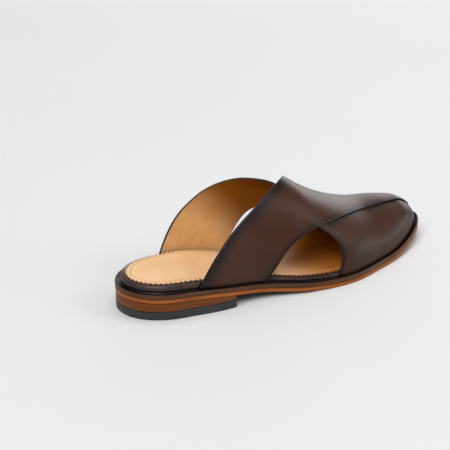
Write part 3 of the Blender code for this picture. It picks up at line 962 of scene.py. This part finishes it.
def strap_shape(inner, outer, burnish, edge_round):
    """Closed strap from its two faces: leather outside, painted edges, lining inside."""
    rows, columns = inner.shape[:2]
    shape = bmesh.new()
    shade = shape.verts.layers.float.new("burnish")
    source = shape.verts.layers.int.new("source")
    grid = bmesh.ops.create_grid(shape, x_segments=rows - 1, y_segments=columns - 1, size=1.0)
    for vert in grid["verts"]:
        row, column = grid_spot(vert, rows, columns)
        vert[source] = row * columns + column
        vert[shade] = burnish[row, column]
        vert.co = inner[row, column]
    lining = list(shape.faces)
    made = bmesh.ops.extrude_face_region(shape, geom=lining)["geom"]
    flat = outer.reshape(-1, 3)
    for item in made:
        if isinstance(item, bmesh.types.BMVert):
            item.co = flat[item[source]]
    skin = {item for item in made if isinstance(item, bmesh.types.BMFace)}
    inside = set(lining)
    for face in shape.faces:
        if face in skin:
            face.material_index = STRAP_CALF
        elif face in inside:
            face.material_index = STRAP_LINING
        else:
            face.material_index = STRAP_PAINT
    bmesh.ops.remove_doubles(shape, verts=shape.verts, dist=MERGE)
    toe = TOE_END - LENGTH / 2 - SQUARE_TOE
    rim = [edge for edge in shape.edges
           if len({face.material_index for face in edge.link_faces}) == 2
           and max(vert.co.x for vert in edge.verts) < toe]
    bmesh.ops.bevel(shape, geom=rim, offset=edge_round, segments=3, profile=0.5, affect="EDGES",
                    clamp_overlap=False, material=STRAP_PAINT)
    shape.verts.layers.int.remove(shape.verts.layers.int["source"])
    return shape


class MULE_OT_straps(bpy.types.Operator):
    """Add the medial strap and the lateral strap that crosses over it."""
    bl_idname = "mule.straps"
    bl_label = "Crossed straps"

    def execute(self, context):
        looks = context.scene.mule_straps
        # Burnished calf: dark brown with a soft waxed gloss, darker along the edges, with painted shadow
        # on the medial strap under the lateral strap's front edge
        calf = grained("calf_brown_burnished", looks.calf, looks.burnish,
                       cloud=0.045, grain=0.0007, gloss=Gloss(0.40, 0.15, 0.10), shaded=True)
        # Black edge paint, smooth and glossy
        paint = grained("edge_paint_black_gloss", looks.edge, looks.edge_worn,
                        cloud=0.01, grain=0.001, gloss=Gloss(0.30, 0.5, 0.2))
        # Vegetable-tanned lining leather, matt, with painted shade darkening it towards the toe and up
        # towards the instep
        lining = grained("lining_leather_tan_matt", looks.lining, looks.lining_dark,
                         cloud=0.022, grain=0.0006, gloss=MATT,
                         painted_shade=PaintedShade(looks.lining_painted_shade, direction=(1.0, 0.0, 1.0), start=-0.020, end=0.045))
        front = np.empty((0, 3))
        for side, edge, name in (
                ("lateral", LATERAL_FRONT, "strap_lateral"),
                ("medial", MEDIAL_FRONT, "strap_medial")):
            x, girth = strap_grid(side, edge)
            if side == "lateral":
                across = girth
                seat = CLEAR + STRAP_SEAT
                room = WALL + SKIVED_GAP - under_tuck(x, 1 - girth)
                inside = over_lift(x, girth, np.maximum(room, UPPER_LIFT))
                outside = over_lift(x, girth, UPPER_LIFT) + WALL
            else:
                across = 1 - girth
                seat = CLEAR
                dip = under_tuck(x, girth)
                inside = creased(x, girth) - dip
                outside = WALL - dip
            inner = strap_point(x, across, inside, seat)
            outer = strap_point(x, across, outside, seat)
            inner[-1] = inner[-1].mean(axis=0)
            outer[-1] = outer[-1].mean(axis=0)
            # The front edges gathered so far include the lateral strap's: on the medial strap the
            # darkening along it is painted shadow
            front = np.concatenate([front, outer[BASE_ROWS:, 0]])
            burnish = strap_burnish_and_shadow(outer, outer[0], front, looks.burnish_and_shadow_reach)
            shape = strap_shape(place(inner), place(outer), burnish, looks.edge_round)
            face_out(shape)
            make_piece(name, shape, [calf, paint, lining], "upper")
        return {"FINISHED"}


def add_floor(looks):
    """Add the paper under the shoe."""
    shape = bmesh.new()
    bmesh.ops.create_grid(shape, x_segments=1, y_segments=1, size=FLOOR_HALF)
    mesh = bpy.data.meshes.new("floor")
    shape.to_mesh(mesh)
    shape.free()
    # Pale seamless paper, matt
    paper = grained("paper_pale_matt", looks.floor, looks.floor_dark,
                    cloud=0.5, grain=0.002, gloss=Gloss(0.9, 0.1, 0.0))
    mesh.materials.append(paper)
    floor = bpy.data.objects.new("floor", mesh)
    bpy.context.scene.collection.objects.link(floor)


def add_lights(looks):
    """Add the even light of the room and the softboxes."""
    world = bpy.data.worlds.new("studio")
    world.use_nodes = True
    world.node_tree.nodes["Background"].inputs["Strength"].default_value = looks.room
    world.node_tree.nodes["Background"].inputs["Color"].default_value = (1.0, 1.0, 1.0, 1.0)
    bpy.context.scene.world = world
    for box in SOFTBOXES:
        light = bpy.data.lights.new(box.name, "AREA")
        light.energy = getattr(looks, box.setting)
        light.shape = "RECTANGLE"
        light.size, light.size_y = box.size
        lamp = bpy.data.objects.new(box.name, light)
        lamp.location = box.place
        toward = LIGHT_AIM - Vector(box.place)
        lamp.rotation_euler = toward.to_track_quat("-Z", "Y").to_euler()
        bpy.context.scene.collection.objects.link(lamp)


def add_camera():
    """Add the camera that sees the shoe as the photograph does."""
    camera = bpy.data.cameras.new("camera")
    camera.sensor_width = VIEW_SENSOR
    camera.lens = VIEW_LENS
    camera.shift_x, camera.shift_y = VIEW_SHIFT
    camera.clip_end = VIEW_END
    forward = Vector((
        -math.sin(VIEW_TURN) * math.cos(VIEW_DOWN),
        math.cos(VIEW_TURN) * math.cos(VIEW_DOWN),
        -math.sin(VIEW_DOWN),
    ))
    eye = bpy.data.objects.new("camera", camera)
    eye.location = VIEW_TARGET - forward * VIEW_DISTANCE
    eye.rotation_euler = forward.to_track_quat("-Z", "Y").to_euler()
    bpy.context.scene.collection.objects.link(eye)
    bpy.context.scene.camera = eye


class MULE_OT_stage(bpy.types.Operator):
    """Add the floor, the soft studio lights and the camera."""
    bl_idname = "mule.stage"
    bl_label = "Studio"

    def execute(self, context):
        looks = context.scene.mule_stage
        context.scene.view_settings.view_transform = "Standard"
        add_floor(looks)
        add_lights(looks)
        add_camera()
        return {"FINISHED"}


class MULE_PT_panel(bpy.types.Panel):
    """Lists the pieces of the shoe and their settings."""
    bl_idname = "MULE_PT_panel"
    bl_label = "Cross-strap mule"
    bl_space_type = "VIEW_3D"
    bl_region_type = "UI"
    bl_category = "Mule"

    def draw(self, context):
        for group, operators in PANEL_ROWS:
            box = self.layout.box()
            settings = getattr(context.scene, group)
            for name in settings.__annotations__:
                box.prop(settings, name)
            for operator in operators:
                box.operator(operator.bl_idname)


PANEL_ROWS = (
    ("mule_sole", (MULE_OT_heel, MULE_OT_sole)),
    ("mule_footbed", (MULE_OT_footbed,)),
    ("mule_straps", (MULE_OT_straps,)),
    ("mule_stage", (MULE_OT_stage,)),
)
SETTINGS = (
    ("mule_sole", MuleSoleSettings),
    ("mule_footbed", MuleFootbedSettings),
    ("mule_straps", MuleStrapSettings),
    ("mule_stage", MuleStageSettings),
)
OPERATORS = (MULE_OT_heel, MULE_OT_sole, MULE_OT_footbed, MULE_OT_straps, MULE_OT_stage)
CLASSES = tuple(group for name, group in SETTINGS) + OPERATORS + (MULE_PT_panel,)


def register():
    """Register the classes and give the scene its settings."""
    for item in CLASSES:
        bpy.utils.register_class(item)
    for name, group in SETTINGS:
        setattr(bpy.types.Scene, name, bpy.props.PointerProperty(type=group))


def unregister():
    """Take the settings and the classes away again."""
    for name, group in SETTINGS:
        delattr(bpy.types.Scene, name)
    for item in reversed(CLASSES):
        bpy.utils.unregister_class(item)


def main():
    """Build the shoe and its studio."""
    register()
    bpy.ops.mule.heel()
    bpy.ops.mule.sole()
    bpy.ops.mule.footbed()
    bpy.ops.mule.straps()
    bpy.ops.mule.stage()


if __name__ == "__main__":
    main()
